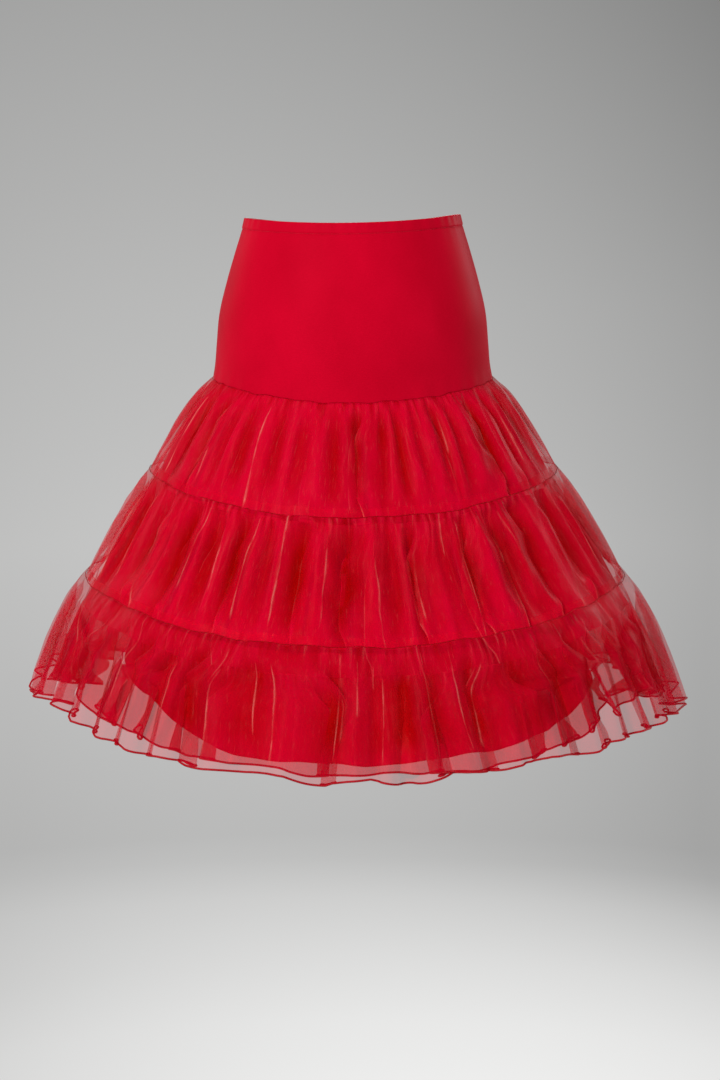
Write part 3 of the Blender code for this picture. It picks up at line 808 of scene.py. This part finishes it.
# yoke
yokeColumns = ("sideZ", "frontDrop", "backDrop", "tilt", "halfWidth", "frontDepth", "backDepth")
yokeLevels = (
    (0.000, 0.006, 0.011, 0.0022, 0.1275, 0.0940, 0.1000),
    (-0.011, 0.006, 0.011, 0.0022, 0.1305, 0.0970, 0.1030),
    (-0.038, 0.007, 0.011, 0.0020, 0.1390, 0.1050, 0.1130),
    (-0.075, 0.009, 0.010, 0.0015, 0.1500, 0.1150, 0.1260),
    (-0.112, 0.011, 0.009, 0.0010, 0.1590, 0.1220, 0.1360),
    (-0.150, 0.014, 0.009, 0.0005, 0.1630, 0.1270, 0.1400),
    (-0.176, 0.015, 0.010, 0.0000, 0.1655, 0.1290, 0.1405),
    (-0.190, 0.016, 0.011, 0.0000, 0.1680, 0.1310, 0.1420),
)
yokeLook = {
    "columns": 150, "rows": 64, "thickness": 1.6 * mm, "casingHeight": 11.5 * mm, "casingProud": 0.7 * mm,
    "grooveWidth": 1.1 * mm, "grooveDepth": 0.65 * mm, "lastRow": 0.7 * mm, "rimHeight": 1 * mm,
    "rimSteps": 7, "rowsAtSeam": (-1.2, -0.6, 0, 0.6, 1.2), "ripple": 0.35 * mm, "pull": 0.6 * mm,
    "wobble": 1.2 * mm, "halfWidth": 0.159, "depth": 0.122, "weld": 0.01 * mm, "cut": (0.44, 0.215),
}
stitching = {
    "pitch": 3.1 * mm, "length": 2.2 * mm, "radius": 0.28 * mm, "sunk": 0.15 * mm,
    "sides": 6, "samples": 2000,
    # how far along the stitch, and how fat it is there
    "rings": ((-0.5, 0.35), (-0.36, 0.9), (0.0, 1.0), (0.36, 0.9), (0.5, 0.35)),
}


def smoothThrough(place, known, values):
    # a smooth line through a table's values
    slopes = np.gradient(values, known)
    at = np.clip(np.searchsorted(known, place) - 1, 0, len(known) - 2)
    gap = known[at + 1] - known[at]
    share = (place - known[at]) / gap
    bow = gap * share * (1 - share) * (slopes[at] * (1 - share) - slopes[at + 1] * share)
    return values[at] + (values[at + 1] - values[at]) * smoothRise(share) + bow


def yokeOval(height):
    # heights are at the side seam
    levels = dict(zip(yokeColumns, np.array(yokeLevels).T))
    found = {name: smoothThrough(-height, -levels["sideZ"], levels[name]) for name in yokeColumns[1:]}
    found.update(sideZ=height, centreX=0.0, lift=0.0)
    return found


def closeEnds(piece):
    # joins the loop's first and last rows and fills its two ends at the side seams
    closed = bmesh.new()
    closed.from_mesh(piece.data)
    bmesh.ops.remove_doubles(closed, verts=closed.verts, dist=yokeLook["weld"])
    ends = [edge for edge in closed.edges if edge.is_boundary]
    bmesh.ops.holes_fill(closed, edges=ends, sides=0)
    bmesh.ops.triangulate(closed, faces=[face for face in closed.faces if len(face.verts) > 4])
    closed.to_mesh(piece.data)
    closed.free()


def makeYoke(panel, start, end):
    look = yokeLook
    turn = np.radians(np.linspace(start, end, look["columns"] + 1))[None, :]
    bottom = yokeLevels[-1][0]
    even = np.linspace(0, bottom, look["rows"])
    nearSeam = -look["casingHeight"] + np.array(look["rowsAtSeam"]) * mm
    heights = np.sort(np.concatenate((even, nearSeam, (bottom + look["lastRow"],))))[::-1][:, None]
    proud = look["casingProud"] * (1 - smoothRise((-heights - look["casingHeight"] + 1 * mm) / (2 * mm)))
    groove = look["grooveDepth"] * np.exp(-(((-heights - look["casingHeight"]) / look["grooveWidth"]) ** 2))
    ripple = look["ripple"] * np.sin(46 * turn + 2.2 * np.sin(5 * turn)) * np.exp(heights / 0.010)
    pull = look["pull"] * seamWobble(turn, 31, 1.0) * smoothRise((-heights - 0.165) / 0.025)
    outward = proud - groove + ripple + pull
    outer = onOval(yokeOval(heights), turn, outward, 0.0)
    outer[..., 2] += seamWobble(turn, 1, look["wobble"]) * smoothRise((-heights - 0.160) / 0.030)
    inner = onOval(yokeOval(heights), turn, outward - look["thickness"] - proud, 0.0)
    inner[..., 2] = outer[..., 2]
    # a round fold over the top edge and a plain lower edge, in one closed loop
    middle, half = (outer[0] + inner[0]) / 2, (outer[0] - inner[0]) / 2
    up = np.array((0, 0, look["rimHeight"]))
    angles = np.linspace(0, math.pi, look["rimSteps"])[1:-1]
    rim = np.stack([middle + half * math.cos(angle) + up * math.sin(angle) for angle in angles])
    loop = np.concatenate((outer[::-1], rim, inner, outer[-1:]), axis=0)
    radius = (look["halfWidth"] + look["depth"]) / 2
    down = lengthAlong(loop[:, look["columns"] // 2])
    piece = gridPiece(f"yoke_{panel}_cloth", loop, knit, (turn * radius, down[:, None]))
    closeEnds(piece)
    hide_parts(f"yoke_{panel}")
    return piece


def stitchLine(panel, start, end):
    # a row of short stitches under the elastic, joined in one mesh
    look = stitching
    turns = np.radians(np.linspace(start, end, look["samples"]))[None, :]
    path = onOval(yokeOval(np.array([[-yokeLook["casingHeight"]]])), turns, -look["sunk"], 0.0)[0]
    length = lengthAlong(path)

    def pathAt(place):
        return np.array([np.interp(place, length, path[:, i]) for i in range(3)])

    corners, faces, maps = [], [], []
    sides, rings = look["sides"], look["rings"]
    for place in np.arange(look["pitch"] / 2, length[-1], look["pitch"]):
        centre = pathAt(place)
        ahead = pathAt(place + mm) - pathAt(place - mm)
        ahead /= np.linalg.norm(ahead)
        out = np.cross(ahead, (0, 0, 1.0))
        out /= np.linalg.norm(out)
        up = np.cross(out, ahead)
        first = len(corners)
        for along, fat in rings:
            for side in range(sides):
                angle = fullTurn * side / sides
                outward = out * math.cos(angle) + up * math.sin(angle)
                corners.append(centre + ahead * along * look["length"] + outward * look["radius"] * fat)
                maps.append((place + along * look["length"], angle * look["radius"]))
        for ring in range(len(rings) - 1):
            for side in range(sides):
                a, b = first + ring * sides + side, first + ring * sides + (side + 1) % sides
                faces.append((a, b, b + sides, a + sides))
        faces.append(tuple(first + side for side in reversed(range(sides))))
        faces.append(tuple(first + (len(rings) - 1) * sides + side for side in range(sides)))
    points = [tuple(corner) for corner in corners]
    piece = meshPiece(f"yoke_{panel}_stitches", points, faces, np.array(maps), stitchThread)
    return piece


for panel, start, end in panels:
    yokeCloth = makeYoke(panel, start, end)
    stitches = stitchLine(panel, start, end)
print("made yoke")

dressTier(outerUpperTier, "outer_upper_tier", upperOrganza, "yoke", False)
dressTier(outerMiddleTier, "outer_middle_tier", outerOrganza, "outer_upper_tier", False)
dressTier(outerHemTier, "outer_hem_tier", hemOrganza, "outer_middle_tier", True)
dressTier(innerUpperTier, "inner_upper_tier", innerOrganza, "yoke", False)
dressTier(innerMiddleTier, "inner_middle_tier", innerOrganza, "inner_upper_tier", False)
dressTier(innerHemTier, "inner_hem_tier", innerHemOrganza, "inner_middle_tier", True)

# lining
lining = {
    "columns": 220, "rows": 40, "waves": 11, "waveDepth": 7 * mm, "wobbleTop": (1, 0.8 * mm),
    "wobbleHem": (41, 2.0 * mm),
    "levels": ("liningTop", "liningHip", "liningThigh", "liningHem"), "mapRadius": 0.2,
    "turnedRows": 5, "turnedInset": 0.006, "edge": 0.7 * mm, "edgeSides": 6, "cut": (0.78, 0.385),
    "hemSag": (  # degrees round from the front centre, and how many millimetres the hem hangs lower there
        (-90, 0), (-72, -4), (-55, -8), (-42, 11), (-33, 20), (-24, 17), (-12, 10), (0, 8), (14, 9),
        (28, 10), (38, 12), (50, 16), (62, 14), (75, 5), (90, 0),
    ),
}


def makeLining(panel, start, end):
    look = lining
    turn = np.radians(np.linspace(start, end, look["columns"] + 1))[None, :]
    table = [ovalNamed(level) for level in look["levels"]]
    heights = np.linspace(table[0]["sideZ"], table[-1]["sideZ"], look["rows"])[:, None]
    known = [-oval["sideZ"] for oval in table]
    oval = {key: np.interp(-heights, known, [one[key] for one in table]) for key in ovalColumns}
    share = (heights - heights[0]) / (heights[-1] - heights[0])
    wave = np.sin(look["waves"] * turn + 1.3 * np.sin(3 * turn + 0.6) + 0.5 * share)
    outward = -look["waveDepth"] * (0.5 - 0.5 * wave) * smoothRise(share)
    points = onOval(oval, turn, outward, 0.0)
    topWobble, hemWobble = [seamWobble(turn, *look[one]) for one in ("wobbleTop", "wobbleHem")]
    points[..., 2] += topWobble * (1 - share) + hemWobble * share
    points[..., 2] -= sagAt(look["hemSag"], turn) * share**3
    across = turn * look["mapRadius"]
    piece = gridPiece(f"lining_{panel}_cloth", points, satin, (across, heights))
    # the turned hem lies just inside the cloth
    turnedRows = slice(-look["turnedRows"], None)
    edge = points[turnedRows]
    fold = edge - (edge - edge.mean(axis=(0, 1)) * (0, 0, 1)) * (1, 1, 0) * look["turnedInset"]
    turned = gridPiece(f"lining_{panel}_hem_fold", fold, satin, (across, heights[turnedRows]))
    bead = beadAlong(f"lining_{panel}_hem_edge", points[-1], look["edge"], look["edgeSides"], hemThread)
    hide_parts(f"lining_{panel}")


for panel, start, end in panels:
    makeLining(panel, start, end)
print("made lining")

# studio: a round backdrop that glows with painted light, its grey laid on its own floor and wall, then
# lights and camera
studio = {
    "floorZ": -2.25, "radius": 4.0, "wallTop": 3.2, "segments": 96, "floorRings": (0.0, 0.8, 1.6, 2.4, 3.2),
    "wallSteps": 8, "brightness": 0.93, "blueShare": 0.992, "widest": 1.2, "sideDimming": -0.10,
    "air": (0.38, 0.38, 0.38, 1),
    # metres along the floor and up the wall, and the grey there: painted light, brightest in the floor's
    # middle and darker high up the wall
    "greys": (
        (0.0, 0.94), (2.1, 0.905), (2.5, 0.86), (2.9, 0.775), (3.4, 0.665), (3.75, 0.555), (4.0, 0.520),
        (4.12, 0.525), (5.08, 0.590), (5.9, 0.51), (6.9, 0.375), (8.2, 0.25),
    ),
    # painted light and shade: how fast the grey falls off to the right; the floor's end brightens, the wall
    # darkens
    "falls": ((1.5, 0.39), (2.9, 0.45), (3.75, 0.57), (5.9, 0.60), (7.4, 0.69), (8.2, 0.74)),
}
lights = (  # name, place, aim, size in metres and power in watts
    ("key", (-1.35, -2.1, 1.15), (0, 0, -0.25), 0.55, 60),
    ("fill", (2.0, -1.5, 0.1), (0, 0, -0.5), 1.0, 11),
    ("side left", (-2.1, 1.5, 0.4), (0, 0, -0.35), 0.8, 3),
    ("side right", (2.1, 1.5, 0.5), (0, 0, -0.35), 0.8, 16),
    ("behind", (0.0, 2.4, 0.9), (0, 0, -0.35), 1.0, 13),
)
view = {"place": (0.009, -2.15, 0.03), "down": 11.06, "lens": 59.5, "sensor": 36}


def glowingBackdrop():
    look = studio
    material, tree = nodeMaterial("backdrop grey")
    place = madeNode(tree, "TexCoord", {})["Object"]
    parts = madeNode(tree, "SeparateXYZ", {"Vector": place})
    level = madeNode(tree, "VectorMath", {0: place, 1: (1, 1, 0)}, "MULTIPLY")["Vector"]
    radial = madeNode(tree, "VectorMath", {0: level}, "LENGTH")["Value"]
    # one run of numbers along the floor and up the wall: radius, then height above the floor
    start, end = look["floorZ"], look["radius"] + look["wallTop"]
    along = {"Value": mathOf(tree, "ADD", radial, parts["Z"]), "From Min": start, "From Max": end}
    span = madeNode(tree, "MapRange", along)["Result"]

    def ramped(table, blueShare):
        stops = tuple((metres / (end - start), (grey, grey, grey * blueShare)) for metres, grey in table)
        return colourRamp(tree, span, stops)

    shade, fall = ramped(look["greys"], look["blueShare"]), ramped(look["falls"], 1)
    aside = mathOf(tree, "MINIMUM", mathOf(tree, "MAXIMUM", parts["X"], -look["widest"]), look["widest"])
    slant = mathOf(tree, "MULTIPLY", mathOf(tree, "SUBTRACT", 0.5, fall), aside)
    # painted shade, darker towards both sides
    dimmed = mathOf(tree, "MULTIPLY", mathOf(tree, "MULTIPLY", aside, aside), look["sideDimming"])
    across = mathOf(tree, "ADD", mathOf(tree, "ADD", slant, dimmed), 1.0)
    # the backdrop glows with these greys instead of taking light from the lamps, and so lights the skirt as
    # well
    setInputs(tree, tree.nodes["Principled BSDF"], {
        "Emission Color": madeNode(tree, "VectorMath", {0: shade, "Scale": across}, "SCALE")["Vector"],
        "Emission Strength": look["brightness"], "Base Color": (0, 0, 0), "Specular IOR Level": 0,
    })
    return material


def makeBackdrop():
    look = studio
    floor, radius, steps = look["floorZ"], look["radius"], look["wallSteps"]
    wall = look["wallTop"] - floor
    profile = [(ring, floor) for ring in (*look["floorRings"], radius)]
    profile += [(radius, floor + wall * step / steps) for step in range(1, steps + 1)]
    turns = np.linspace(0, fullTurn, look["segments"] + 1)
    points = np.array([[(r * math.sin(t), -r * math.cos(t), z) for t in turns] for r, z in profile])
    index = np.arange(points.shape[0] * points.shape[1]).reshape(points.shape[:2])
    faces = np.stack((index[:-1, :-1], index[:-1, 1:], index[1:, 1:], index[1:, :-1]), axis=-1)
    mesh = bpy.data.meshes.new("backdrop")
    mesh.from_pydata(points.reshape(-1, 3).tolist(), [], faces.reshape(-1, 4).tolist())
    mesh.materials.append(glowingBackdrop())
    piece = bpy.data.objects.new("backdrop", mesh)
    scene.collection.objects.link(piece)


def areaLight(name, place, aim, size, power):
    light = bpy.data.lights.new(name, "AREA")
    light.shape = "DISK"
    light.size = size
    light.energy = power
    holder = bpy.data.objects.new(name, light)
    holder.location = place
    holder.rotation_mode = "QUATERNION"
    holder.rotation_quaternion = Vector(np.array(aim) - np.array(place)).to_track_quat("-Z", "Y")
    holder.visible_camera = False
    scene.collection.objects.link(holder)


def makeCamera():
    data = bpy.data.cameras.new("camera")
    data.sensor_fit = "VERTICAL"
    data.sensor_width = data.sensor_height = view["sensor"]
    data.lens = view["lens"]
    camera = bpy.data.objects.new("camera", data)
    camera.location = view["place"]
    camera.rotation_euler = (math.radians(90 - view["down"]), 0, 0)
    scene.collection.objects.link(camera)
    scene.camera = camera


makeBackdrop()
for light in lights:
    areaLight(*light)
world = bpy.data.worlds.new("studio air")
world.use_nodes = True
world.node_tree.nodes["Background"].inputs["Color"].default_value = studio["air"]
scene.world = world
makeCamera()
print("studio ready")
